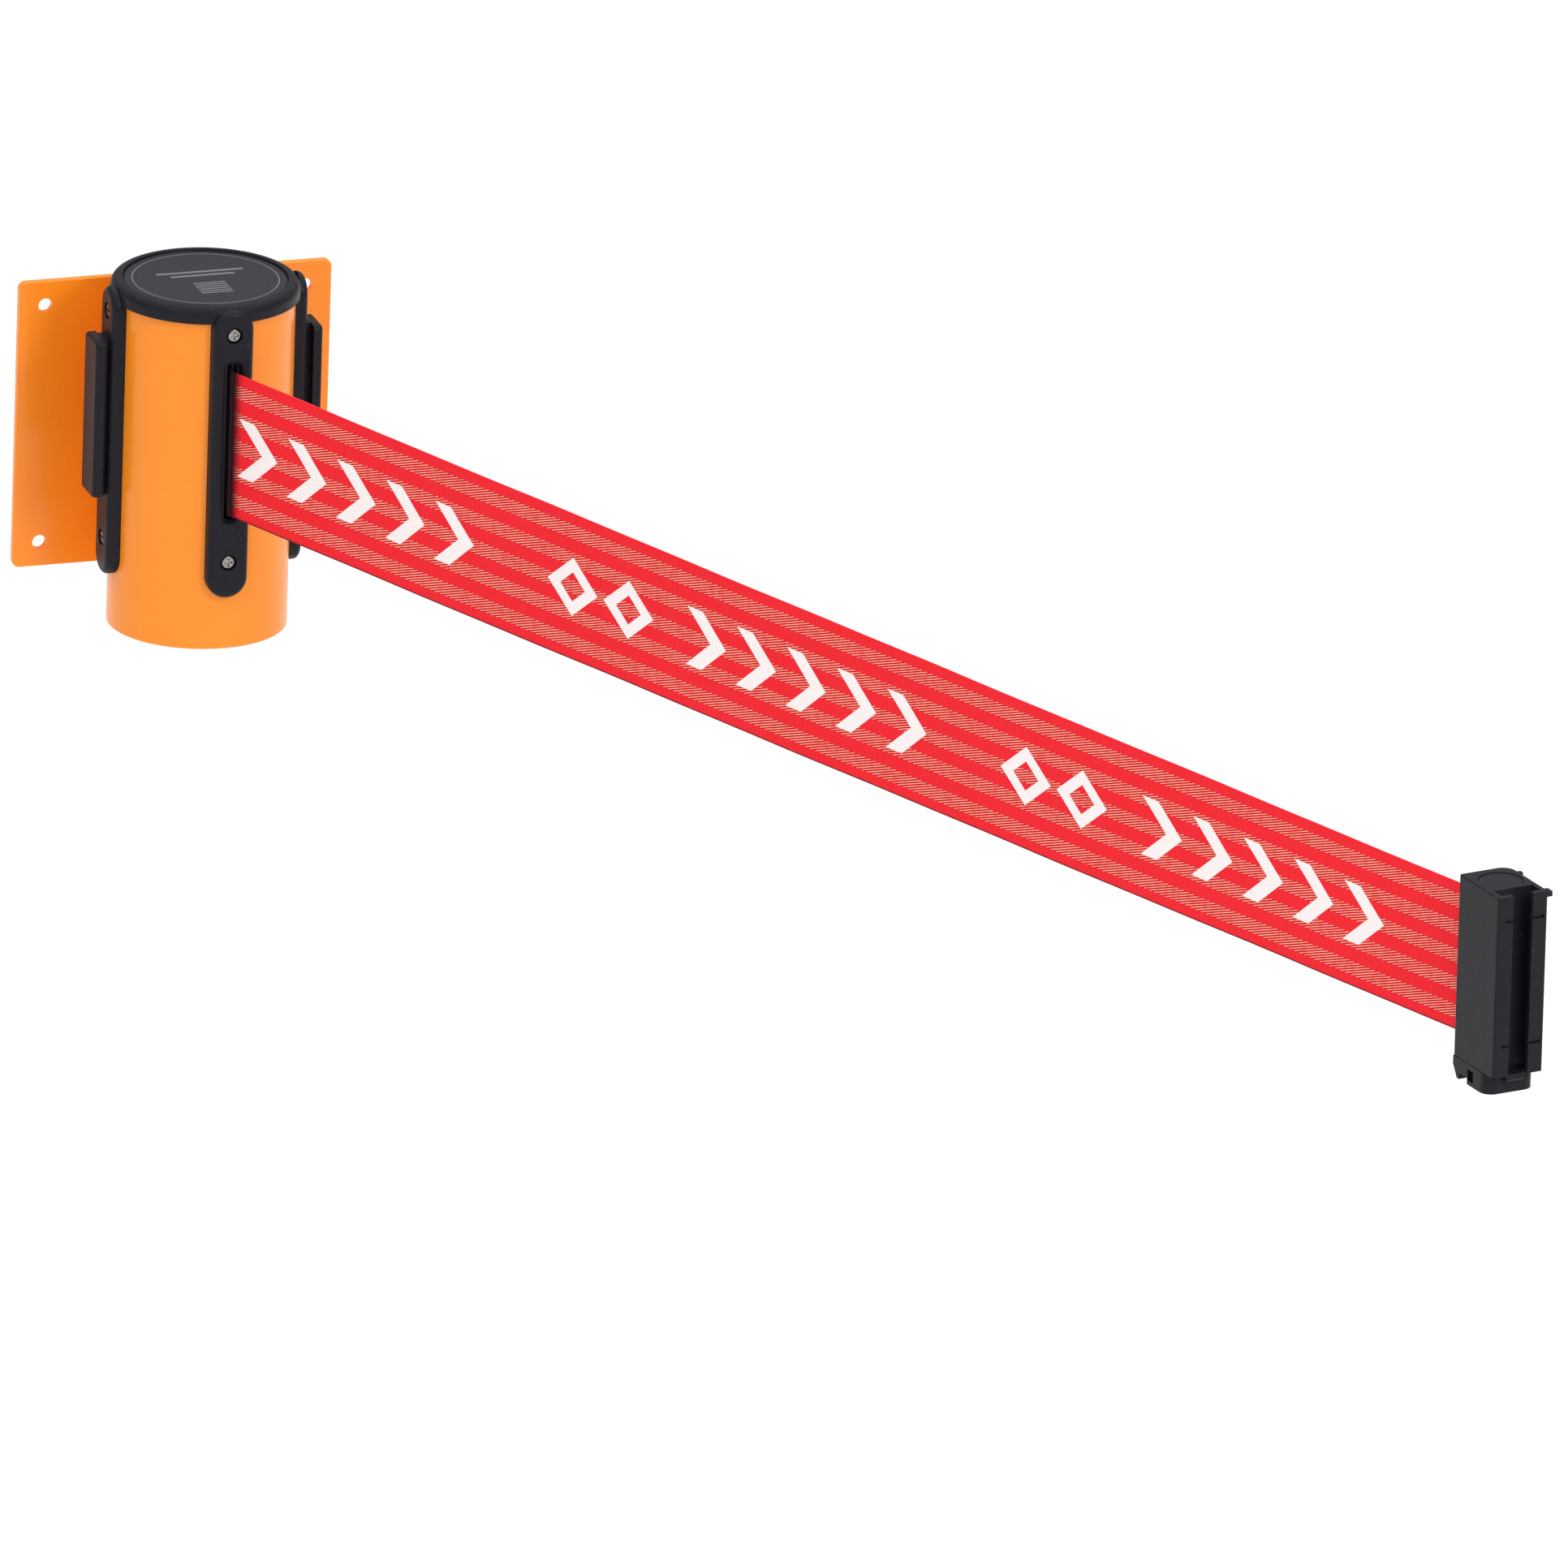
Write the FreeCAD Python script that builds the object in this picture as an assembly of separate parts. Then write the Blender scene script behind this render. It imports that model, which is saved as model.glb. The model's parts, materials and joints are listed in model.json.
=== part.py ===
"""Wall-mounted retractable belt barrier: a steel canister on a wall plate, with
three screwed-on black covers, a spring-wound belt cassette inside, a 50.8 mm belt
pulled out through the front slot, and a belt end that clips onto a T-rail.

Frame: millimetres, origin at the centre of the wall plate's back face, +Y into the
wall, +Z up, +X to the right for a person who faces the wall.
"""
import FreeCAD
import Part

import math
import os

from FreeCAD import Placement, Rotation, Vector

# --- wall plate -----------------------------------------------------------------
PLATE_W = 108.6
PLATE_H = 100.6
PLATE_T = 2.3
PLATE_CORNER_R = 2.5
PLATE_EDGE_R = 0.4
WALL_HOLE_R = 2.4
WALL_HOLE_DX = 90.3
WALL_HOLE_DZ = 83.6

# --- canister tube and its caps -------------------------------------------------
TUBE_R = 30.15
TUBE_WALL = 1.2
TUBE_IN_R = TUBE_R - TUBE_WALL
TUBE_BOTTOM = -60.8
TUBE_TOP = 57.4
AXIS_Y = -(PLATE_T + 33.1)
SADDLE_W = 26.0
SADDLE_IN = 20.0
SADDLE_H = 84.0
PLATE_SCREW_Z = 18.0
PLATE_SCREW_R = 2.0
PLATE_SCREW_HEAD_R = 3.9
PLATE_SCREW_SINK = 0.1
PLATE_SCREW_CROSS = (0.5, 2.0, 1.3)
NUT_BAR_W = 12.0
NUT_BAR_IN = 25.3
NUT_BAR_OUT = 28.1
NUT_BOSS_R = 3.6
CAP_R = 31.66
CAP_SKIRT_Z = 54.2
CAP_TOP_Z = 59.9
CAP_RIM_R = 3.0
LABEL_R = 27.4
LABEL_RECESS = 1.0
LABEL_T = 0.3
LABEL_GAP = 0.3
CAP_SPIGOT_R = 27.2
BOTTOM_CAP_SINK = 1.0
BOTTOM_CAP_T = 2.0
BOTTOM_CAP_H = 6.0

# --- covers: one with the belt slot, two with a T-rail --------------------------
COVER_W = 13.9
COVER_Z0 = -42.0
COVER_Z1 = 59.1
COVER_FACE_R = 34.07
COVER_EDGE_R = 2.0
COVER_SCREW_Z = (-29.3, 50.7)
SCREW_R = 1.5
SCREW_HEAD_R = 2.3
SCREW_HEAD_H = 1.3
SCREW_POCKET_R = 2.8
SCREW_POCKET_D = 1.7
SCREW_IN_R = 22.0
SCREW_HEAD_EDGE_R = 0.6
SCREW_CROSS_HALF = (1.5, 0.32)
SCREW_CROSS_LEFT = 0.5
RAIL_Z0 = -13.3
RAIL_Z1 = 41.9
RAIL_STEM_W = 6.4
RAIL_HEAD_W = 13.6
RAIL_HEAD_IN = 36.2
RAIL_HEAD_OUT = 39.4
RAIL_CORNER_R = 2.0
RAIL_EDGE_R = 1.1

# --- belt -----------------------------------------------------------------------
BELT_W = 50.8
BELT_T = 0.6
BELT_Z = 12.7
BELT_Z0 = BELT_Z - BELT_W / 2
BELT_Z1 = BELT_Z + BELT_W / 2
SLOT_W = 3.4
MOUTH_W = 5.8
MOUTH_D = 1.9
MOUTH_EDGE_R = 0.8
SLOT_Z0 = BELT_Z0 - 2.4
SLOT_Z1 = 41.6
PIVOT_R = 34.3
BELT_ANGLE = 23.7
BELT_REACH = 632.5
CLEAR = 0.3

# --- cassette -------------------------------------------------------------------
CORE_R = 28.7
LOWER_Z = (-34.0, -25.0)
UPPER_Z = (46.0, 55.0)
WEB_T = 3.0
RIM_IN_R = 18.0
BOSS_R = 8.0
BUSH_R = 6.0
BUSH_FLANGE_R = 7.6
BUSH_FLANGE_T = 1.0
SHAFT_R = 4.0
RUN_FIT = 0.05
PILLAR_R = 1.8
PILLAR_PITCH_R = 26.3
PILLAR_ANGLES = (45, 135, 225, 315)
SMALL_SCREW_R = 0.9
SMALL_HEAD_R = 1.7
SMALL_HEAD_H = 1.5
SMALL_SCREW_IN = 6.0
POST_R = 1.8
POST_X = 2.35
POST_Y = -25.8
DRUM_HUB_R = 9.0
DRUM_R = 23.5
DRUM_FLANGE_T = 1.2
DRUM_GAP = 0.9
COIL_R = 19.2
BRAKE_Z = (40.6, 44.6)
BRAKE_RING_R = (22.7, 23.8)
BRAKE_SHOE_R = (16.6, 22.1)
BRAKE_ROTOR_R = 20.4
BRAKE_ROTOR_T = 1.0
BRAKE_SHOE_ARC = (-12, 40, 90, 120)
BRAKE_PIN_R = 1.2
BRAKE_PIN_PITCH_R = 18.8
CLIP_RING_R = 5.6
CLIP_RING_T = 0.8
GROOVE_R = 3.3

# --- power spring below the lower plate -----------------------------------------
CAN_R = 25.5
CAN_WALL = 1.2
CAN_Z = (-56.0, -34.0)
CAN_TOP_T = 1.5
CAN_SCREW_PITCH_R = 22.3
CAN_SCREW_ANGLES = (90, 210, 330)
CAN_SCREW_IN = 6.0
CAN_SCREW_HEAD_H = 1.2
LID_T = 1.4
LID_HOLE_R = 2.5
LID_HOLE_PITCH_R = 12.0
PEG_HALF_W = 1.2
PEG_L = 4.2
ARBOR_R = 5.2
SPRING_Z = (-53.6, -36.8)
SPRING_T = 0.45
SPRING_PITCH = 1.6
SPRING_HALF_TURNS = 16

# --- belt end, in its own frame: +X outward, origin on its pin --------------------
END_YAW = 11.85
END_X0 = -10.9
END_X1 = 15.1
END_HALF_W = 9.3
END_Z0 = -17.8
END_Z1 = 44.7
END_EDGE_R = 0.9
END_FAR_R = 4.5
END_TOP_R = 0.5
CHANNEL_HALF_W = 3.6
UNDERCUT_HALF_W = 7.3
UNDERCUT_X = (8.0, 13.3)
PIN_R = 4.0
LOOP_IN_R = 4.08
LOOP_OUT_R = 5.3
CAVITY_R = 5.9
CAVITY_ROOF = 3.2
CORE_CAP_R = 7.4
CORE_CAP_T = 2.0
CORE_CAP_SINK = 0.2
BELT_MOUTH_HALF = (2.9, 6.7)
BELT_MOUTH_X = -4.6
BELT_MOUTH_GAP = 1.2
LIP_H = 2.3
LIP_OUT = 1.7
LIP_X = ((-6.3, -4.5), (11.5, 14.8))
NOTCH_H = 1.1
NOTCH_D = 0.8
NOTCH_Z = (-7.2, 36.1)
NOTCH_Y = ((-6.4, -3.5), (3.5, 8.0))

# --- cap under the belt end -------------------------------------------------------
END_CAP_Z = -25.2
END_CAP_X1 = 10.8
END_CAP_OUTER_R = 4.0
SEAM = 0.35
WEDGE_W = 3.4
WEDGE_TOP = 3.2
TOE_X = (7.8, 13.9)
TOE_H = 2.7
TOE_R = 1.2
WINDOW_X = (-1.4, 2.4)
WINDOW_Z = (1.4, 5.3)
WINDOW_D = 1.6
END_SCREW_AT = (-4.2, -5.0)
END_SCREW_R = 1.1
END_SCREW_HEAD_R = 2.3
END_SCREW_HEAD_H = 1.7
END_SCREW_POCKET_R = 2.6
END_SCREW_POCKET_D = 2.2
END_SCREW_CROSS_HALF = (1.3, 0.3)

# how far a cutting shape runs past the face that it cuts
OVER = 1.0
UP = Vector(0, 0, 1)


def block(x0, x1, y0, y1, z0, z1):
    return Part.makeBox(x1 - x0, y1 - y0, z1 - z0, Vector(x0, y0, z0))


def rod(radius, z0, z1, x=0.0, y=0.0):
    return Part.makeCylinder(radius, z1 - z0, Vector(x, y, z0), UP)


def ring(r_in, r_out, z0, z1):
    return rod(r_out, z0, z1).cut(rod(r_in, z0 - 1, z1 + 1))


def y_rod(radius, y0, y1, x=0.0, z=0.0):
    return Part.makeCylinder(radius, y1 - y0, Vector(x, y0, z), Vector(0, 1, 0))


def polar(radius, angle_deg):
    a = math.radians(angle_deg)
    return Vector(radius * math.cos(a), radius * math.sin(a), 0)


def turned(shape, angle_deg):
    """The shape turned about the vertical line through the origin."""
    out = shape.copy()
    out.Placement = Placement(Vector(), Rotation(UP, angle_deg)).multiply(out.Placement)
    return out


def on_axis(shape):
    """From the tube's own frame, axis at x = y = 0, to the frame of the whole part."""
    out = shape.copy()
    out.translate(Vector(0, AXIS_Y, 0))
    return out


def prism(points, z0, z1):
    loop = [Vector(x, y, z0) for x, y in points]
    face = Part.Face(Part.makePolygon(loop + loop[:1]))
    return face.extrude(Vector(0, 0, z1 - z0))


def stadium(width, z0, z1, y0, y1):
    """An upright bar with round ends, its outline in XZ, from y0 to y1."""
    r = width / 2
    bar = block(-r, r, y0, y1, z0 + r, z1 - r)
    return bar.fuse([y_rod(r, y0, y1, 0, z0 + r), y_rod(r, y0, y1, 0, z1 - r)]).removeSplitter()


def edges_at(shape, test):
    return [e for e in shape.Edges if all(test(v.Point) for v in e.Vertexes)]


def vertical_edges(shape):
    return [
        e for e in shape.Edges
        if len(e.Vertexes) == 2 and abs(e.Vertexes[0].Z - e.Vertexes[1].Z) > 1
    ]


# --- wall plate and canister ------------------------------------------------------
def wall_plate():
    w, h = PLATE_W / 2, PLATE_H / 2
    plate = block(-w, w, -PLATE_T, 0, -h, h)
    corners = [e for e in plate.Edges if abs(e.Vertexes[0].Y - e.Vertexes[1].Y) > 1]
    plate = plate.makeFillet(PLATE_CORNER_R, corners)
    front = edges_at(plate, lambda p: abs(p.y + PLATE_T) < 1e-6)
    plate = plate.makeFillet(PLATE_EDGE_R, front)
    for x in (-WALL_HOLE_DX / 2, WALL_HOLE_DX / 2):
        for z in (-WALL_HOLE_DZ / 2, WALL_HOLE_DZ / 2):
            plate = plate.cut(y_rod(WALL_HOLE_R, -PLATE_T - 1, 1, x, z))
    for z in (-PLATE_SCREW_Z, PLATE_SCREW_Z):
        plate = plate.cut(plate_screw(z))
        plate = plate.cut(y_rod(PLATE_SCREW_HEAD_R, -PLATE_SCREW_SINK, OVER, 0, z))
    return plate


def plate_screw(z):
    """A countersunk screw from the plate's back face into the nut bar."""
    head_h = PLATE_SCREW_HEAD_R - PLATE_SCREW_R
    neck = -PLATE_SCREW_SINK - head_h
    head = Part.makeCone(PLATE_SCREW_R, PLATE_SCREW_HEAD_R, head_h, Vector(0, neck, z), Vector(0, 1, 0))
    return head.fuse(y_rod(PLATE_SCREW_R, AXIS_Y + NUT_BAR_IN - 0.4, neck, 0, z))


def plate_screws():
    t, arm, deep = PLATE_SCREW_CROSS
    recess = block(-t, t, -deep, 0, -arm, arm).fuse(block(-arm, arm, -deep, 0, -t, t))
    screws = []
    for z in (-PLATE_SCREW_Z, PLATE_SCREW_Z):
        cross = recess.copy()
        cross.translate(Vector(0, 0, z))
        screws.append(plate_screw(z).cut(cross))
    return Part.makeCompound(screws)


def rear_saddle():
    saddle = block(-SADDLE_W / 2, SADDLE_W / 2, AXIS_Y + SADDLE_IN, -PLATE_T, -SADDLE_H / 2, SADDLE_H / 2)
    saddle = saddle.cut(on_axis(rod(TUBE_R, -SADDLE_H, SADDLE_H)))
    for z in (-PLATE_SCREW_Z, PLATE_SCREW_Z):
        saddle = saddle.cut(y_rod(PLATE_SCREW_R, -20, 1, 0, z))
    return saddle


def nut_bar():
    z0 = LOWER_Z[1] + 0.5
    z1 = UPPER_Z[0] - 0.5
    bar = block(-NUT_BAR_W / 2, NUT_BAR_W / 2, AXIS_Y + NUT_BAR_IN, AXIS_Y + NUT_BAR_OUT, z0, z1)
    for z in (-PLATE_SCREW_Z, PLATE_SCREW_Z):
        boss = y_rod(NUT_BOSS_R, AXIS_Y + NUT_BAR_OUT, AXIS_Y + TUBE_IN_R - 0.25, 0, z)
        bar = bar.fuse(boss)
        bar = bar.cut(y_rod(PLATE_SCREW_R, -20, 1, 0, z))
    return bar


def canister_tube():
    tube = ring(TUBE_IN_R, TUBE_R, TUBE_BOTTOM, TUBE_TOP)
    slot = stadium(SLOT_W + 1.6, SLOT_Z0 - 1, SLOT_Z1, -TUBE_R - 1, -20)
    tube = tube.cut(slot)
    for angle in (0, 90, -90):
        for z in COVER_SCREW_Z:
            tube = tube.cut(turned(y_rod(SCREW_R, -TUBE_R - 1, -20, 0, z), angle))
    for z in (-PLATE_SCREW_Z, PLATE_SCREW_Z):
        tube = tube.cut(y_rod(PLATE_SCREW_R, 20, TUBE_R + 1, 0, z))
    return on_axis(tube)


def top_cap():
    rim_c = Vector(CAP_R - CAP_RIM_R, 0, CAP_TOP_Z - CAP_RIM_R)
    mid = rim_c + Vector(CAP_RIM_R * math.sqrt(0.5), 0, CAP_RIM_R * math.sqrt(0.5))
    floor = CAP_TOP_Z - LABEL_RECESS
    line = [
        Vector(CAP_R - CAP_RIM_R, 0, CAP_TOP_Z),
        Vector(LABEL_R + LABEL_GAP, 0, CAP_TOP_Z),
        Vector(LABEL_R, 0, floor),
        Vector(0, 0, floor),
        Vector(0, 0, TUBE_TOP),
        Vector(CAP_SPIGOT_R, 0, TUBE_TOP),
        Vector(CAP_SPIGOT_R, 0, UPPER_Z[1] + 0.5),
        Vector(TUBE_IN_R - 0.1, 0, UPPER_Z[1] + 0.5),
        Vector(TUBE_IN_R - 0.1, 0, TUBE_TOP),
        Vector(TUBE_R + 0.05, 0, TUBE_TOP),
        Vector(TUBE_R + 0.05, 0, CAP_SKIRT_Z),
        Vector(CAP_R, 0, CAP_SKIRT_Z),
        Vector(CAP_R, 0, CAP_TOP_Z - CAP_RIM_R),
    ]
    edges = [Part.LineSegment(a, b).toShape() for a, b in zip(line, line[1:])]
    edges.append(Part.Arc(line[-1], mid, line[0]).toShape())
    cap = Part.Face(Part.Wire(edges)).revolve(Vector(), UP, 360)
    return on_axis(cap)


def cap_label():
    floor = CAP_TOP_Z - LABEL_RECESS
    return on_axis(rod(LABEL_R - LABEL_GAP, floor, floor + LABEL_T))


def bottom_cap():
    z0 = TUBE_BOTTOM + BOTTOM_CAP_SINK
    z1 = z0 + BOTTOM_CAP_T
    cap = rod(TUBE_IN_R, z0, z1)
    cap = cap.fuse(ring(CAP_SPIGOT_R, TUBE_IN_R, z1, z0 + BOTTOM_CAP_H))
    return on_axis(cap.removeSplitter())


# --- covers and receivers, built facing -Y and turned to their place ----------------
def cover_blank():
    bar = stadium(COVER_W, COVER_Z0, COVER_Z1, -COVER_FACE_R, -20)
    face_edges = edges_at(bar, lambda p: abs(p.y + COVER_FACE_R) < 1e-6)
    bar = bar.makeFillet(COVER_EDGE_R, face_edges)
    bar = bar.cut(rod(TUBE_R, -100, 100))
    bar = bar.cut(rod(CAP_R + 0.05, CAP_SKIRT_Z - 0.1, 100))
    for z in COVER_SCREW_Z:
        bar = bar.cut(y_rod(SCREW_R, -COVER_FACE_R - 1, -20, 0, z))
        pocket = y_rod(SCREW_POCKET_R, -COVER_FACE_R - 1, -COVER_FACE_R + SCREW_POCKET_D, 0, z)
        bar = bar.cut(pocket)
    return bar


def front_cover():
    cover = cover_blank()
    cover = cover.cut(stadium(SLOT_W, SLOT_Z0, SLOT_Z1 - 1, -40, -20))
    mouth = stadium(MOUTH_W, SLOT_Z0 - 0.5, SLOT_Z1, -40, -COVER_FACE_R + MOUTH_D)
    cover = cover.cut(mouth)

    def on_lip(p):
        at_mouth = abs(p.x) < MOUTH_W / 2 + 0.1 and SLOT_Z0 - 2 < p.z < SLOT_Z1 + 2
        return at_mouth and abs(p.y + COVER_FACE_R) < 1e-6

    cover = cover.makeFillet(MOUTH_EDGE_R, edges_at(cover, on_lip))
    return on_axis(cover)


def receiver(angle_deg):
    stem = block(
        -RAIL_STEM_W / 2, RAIL_STEM_W / 2, -RAIL_HEAD_IN - 0.5, -COVER_FACE_R + 0.5, RAIL_Z0, RAIL_Z1
    )
    half = RAIL_HEAD_W / 2
    head = block(-half, half, -RAIL_HEAD_OUT, -RAIL_HEAD_IN, RAIL_Z0, RAIL_Z1)
    corners = [e for e in head.Edges if abs(e.Vertexes[0].Y - e.Vertexes[1].Y) > 1]
    head = head.makeFillet(RAIL_CORNER_R, corners)
    outer = edges_at(head, lambda p: abs(p.y + RAIL_HEAD_OUT) < 1e-6)
    head = head.makeFillet(RAIL_EDGE_R, outer)
    body = cover_blank().fuse([stem, head])
    return on_axis(turned(body, angle_deg))


def cover_screws(angle_deg):
    seat = -COVER_FACE_R + SCREW_POCKET_D
    screws = []
    for z in COVER_SCREW_Z:
        head = y_rod(SCREW_HEAD_R, seat - SCREW_HEAD_H, seat, 0, z)
        rim = edges_at(head, lambda p: abs(p.y - seat + SCREW_HEAD_H) < 1e-6)
        head = head.makeFillet(SCREW_HEAD_EDGE_R, rim)
        arm, t = SCREW_CROSS_HALF
        y0 = seat - SCREW_POCKET_D
        y1 = seat - SCREW_CROSS_LEFT
        slot = block(-arm, arm, y0, y1, z - t, z + t)
        slot = slot.fuse(block(-t, t, y0, y1, z - arm, z + arm))
        screw = head.cut(slot).fuse(y_rod(SCREW_R, seat, -SCREW_IN_R, 0, z))
        screws.append(on_axis(turned(screw, angle_deg)))
    return Part.makeCompound(screws)


# --- cassette ---------------------------------------------------------------------
def end_plate(z0, z1, open_up):
    """A plastic end plate: web, rim and bush boss, with the pockets on its outer side."""
    plate = rod(CORE_R, z0, z1)
    if open_up:
        pocket = ring(BOSS_R, RIM_IN_R, z0 + WEB_T, z1 + 1)
    else:
        pocket = ring(BOSS_R, RIM_IN_R, z0 - 1, z1 - WEB_T)
    plate = plate.cut(pocket).cut(rod(BUSH_R, z0 - 1, z1 + 1))
    outer = z1 if open_up else z0
    for angle in PILLAR_ANGLES:
        at = polar(PILLAR_PITCH_R, angle)
        plate = plate.cut(rod(SMALL_SCREW_R, z0 - 1, z1 + 1, at.x, at.y))
        sink = (outer - SMALL_HEAD_H, outer + 1) if open_up else (outer - 1, outer + SMALL_HEAD_H)
        plate = plate.cut(rod(SMALL_HEAD_R + 0.1, sink[0], sink[1], at.x, at.y))
    screw_z = COVER_SCREW_Z[1] if open_up else COVER_SCREW_Z[0]
    for angle in (0, 90, -90):
        hole = y_rod(SCREW_R, -CORE_R - 1, -SCREW_IN_R, 0, screw_z)
        plate = plate.cut(turned(hole, angle))
    return plate


def upper_plate():
    return on_axis(end_plate(UPPER_Z[0], UPPER_Z[1], True))


def lower_plate():
    plate = end_plate(LOWER_Z[0], LOWER_Z[1], False)
    for angle in CAN_SCREW_ANGLES:
        at = polar(CAN_SCREW_PITCH_R, angle)
        plate = plate.cut(rod(SMALL_SCREW_R, LOWER_Z[0] - 1, LOWER_Z[0] + 5, at.x, at.y))
    return on_axis(plate)


def pillars():
    out = []
    for angle in PILLAR_ANGLES:
        at = polar(PILLAR_PITCH_R, angle)
        pillar = rod(PILLAR_R, LOWER_Z[1], UPPER_Z[0], at.x, at.y)
        for z0 in (LOWER_Z[1] - 1, UPPER_Z[0] - SMALL_SCREW_IN):
            pillar = pillar.cut(rod(SMALL_SCREW_R, z0, z0 + SMALL_SCREW_IN + 1, at.x, at.y))
        out.append(on_axis(pillar))
    return Part.makeCompound(out)


def pillar_screws():
    out = []
    for angle in PILLAR_ANGLES:
        at = polar(PILLAR_PITCH_R, angle)
        top = UPPER_Z[1] - SMALL_HEAD_H
        upper = rod(SMALL_HEAD_R, top, UPPER_Z[1], at.x, at.y)
        upper = upper.fuse(rod(SMALL_SCREW_R, UPPER_Z[0] - SMALL_SCREW_IN + 1, top, at.x, at.y))
        low = LOWER_Z[0] + SMALL_HEAD_H
        lower = rod(SMALL_HEAD_R, LOWER_Z[0], low, at.x, at.y)
        lower = lower.fuse(rod(SMALL_SCREW_R, low, LOWER_Z[1] + SMALL_SCREW_IN - 1, at.x, at.y))
        out += [on_axis(upper), on_axis(lower)]
    return Part.makeCompound(out)


def bush(z0, z1, flange_z0):
    sleeve = rod(BUSH_R, z0, z1).fuse(rod(BUSH_FLANGE_R, flange_z0, flange_z0 + BUSH_FLANGE_T))
    return on_axis(sleeve.removeSplitter().cut(rod(SHAFT_R + RUN_FIT, z0 - 3, z1 + 3)))


def guide_posts():
    posts = [rod(POST_R, LOWER_Z[1], UPPER_Z[0], x, POST_Y) for x in (-POST_X, POST_X)]
    return Part.makeCompound([on_axis(p) for p in posts])


def spool_shaft():
    shaft = rod(SHAFT_R, SPRING_Z[1] + 0.4, UPPER_Z[1] + 0.3)
    shaft = shaft.fuse(rod(ARBOR_R, SPRING_Z[0], SPRING_Z[1] + 0.4))
    for z0 in clip_ring_levels():
        shaft = shaft.cut(ring(GROOVE_R, SHAFT_R + 1, z0, z0 + CLIP_RING_T))
    slit = block(-0.4, 0.4, 1.5, ARBOR_R + 1, SPRING_Z[0] - 1, SPRING_Z[1])
    return on_axis(shaft.cut(slit).removeSplitter())


def clip_ring_levels():
    return (LOWER_Z[0] - 0.4 - CLIP_RING_T, UPPER_Z[1] - CLIP_RING_T - 0.1)


def shaft_clips():
    clips = []
    for z0 in clip_ring_levels():
        clip = ring(GROOVE_R, CLIP_RING_R, z0, z0 + CLIP_RING_T)
        clips.append(on_axis(clip.cut(block(-1.2, 1.2, 0, 10, z0 - 1, z0 + 2))))
    return Part.makeCompound(clips)


def spool_drum():
    z0 = BELT_Z0 - DRUM_GAP
    z1 = BELT_Z1 + DRUM_GAP
    drum = rod(DRUM_HUB_R, z0, z1)
    drum = drum.fuse([rod(DRUM_R, z0 - DRUM_FLANGE_T, z0), rod(DRUM_R, z1, z1 + DRUM_FLANGE_T)])
    return on_axis(drum.removeSplitter().cut(rod(SHAFT_R, z0 - 5, z1 + 5)))


def belt_coil():
    return on_axis(ring(DRUM_HUB_R, COIL_R, BELT_Z0, BELT_Z1))


def brake_ring():
    return on_axis(ring(BRAKE_RING_R[0], BRAKE_RING_R[1], BRAKE_Z[0] + 0.2, UPPER_Z[0]))


def brake_pin_spots():
    return [polar(BRAKE_PIN_PITCH_R, a) for a in (0, 180)]


def brake_rotor():
    z0 = BRAKE_Z[0]
    z1 = z0 + BRAKE_ROTOR_T
    rotor = rod(BRAKE_ROTOR_R, z0, z1).fuse(rod(BOSS_R - 1, z1, BRAKE_Z[1]))
    for at in brake_pin_spots():
        rotor = rotor.fuse(rod(BRAKE_PIN_R, z1, BRAKE_Z[1] - 0.2, at.x, at.y))
    return on_axis(rotor.removeSplitter().cut(rod(SHAFT_R, z0 - 5, BRAKE_Z[1] + 5)))


def brake_shoes():
    """Two curved weights, each hung on a rotor pin at one of its ends."""
    blank = ring(BRAKE_SHOE_R[0], BRAKE_SHOE_R[1], BRAKE_Z[0] + 1.1, BRAKE_Z[1] - 0.4)
    sector = prism([(0, 0)] + [tuple(polar(CORE_R, a))[:2] for a in BRAKE_SHOE_ARC], 0, UPPER_Z[1])
    shoe = blank.common(sector)
    pin = brake_pin_spots()[0]
    shoe = shoe.cut(rod(BRAKE_PIN_R + RUN_FIT, 0, UPPER_Z[1], pin.x, pin.y))
    return Part.makeCompound([on_axis(turned(shoe, a)) for a in (0, 180)])


# --- power spring -----------------------------------------------------------------
def spring_can():
    top = CAN_Z[1]
    can = rod(CAN_R, CAN_Z[0], top).cut(rod(CAN_R - CAN_WALL, CAN_Z[0] - 1, top - CAN_TOP_T))
    can = can.cut(rod(CLIP_RING_R + 0.6, top - 5, top + 1))
    peg = block(CAN_R - CAN_WALL - PEG_L, CAN_R - 0.4, -PEG_HALF_W, PEG_HALF_W, SPRING_Z[0], top - 0.5)
    can = can.fuse(peg).removeSplitter()
    for angle in CAN_SCREW_ANGLES:
        at = polar(CAN_SCREW_PITCH_R, angle)
        can = can.cut(rod(SMALL_SCREW_R, top - 5, top + 1, at.x, at.y))
    return on_axis(can)


def can_lid():
    inner = CAN_R - CAN_WALL
    lid = rod(inner, CAN_Z[0], CAN_Z[0] + LID_T)
    for angle in (0, 120, 240):
        at = polar(LID_HOLE_PITCH_R, angle)
        lid = lid.cut(rod(LID_HOLE_R, CAN_Z[0] - OVER, CAN_Z[0] + LID_T + OVER, at.x, at.y))
    return on_axis(lid)


def can_screws():
    top = CAN_Z[1] - CAN_TOP_T
    out = []
    for angle in CAN_SCREW_ANGLES:
        at = polar(CAN_SCREW_PITCH_R, angle)
        screw = rod(SMALL_HEAD_R, top - CAN_SCREW_HEAD_H, top, at.x, at.y)
        screw = screw.fuse(rod(SMALL_SCREW_R, top, top + CAN_SCREW_IN, at.x, at.y))
        out.append(on_axis(screw))
    return Part.makeCompound(out)


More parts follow.
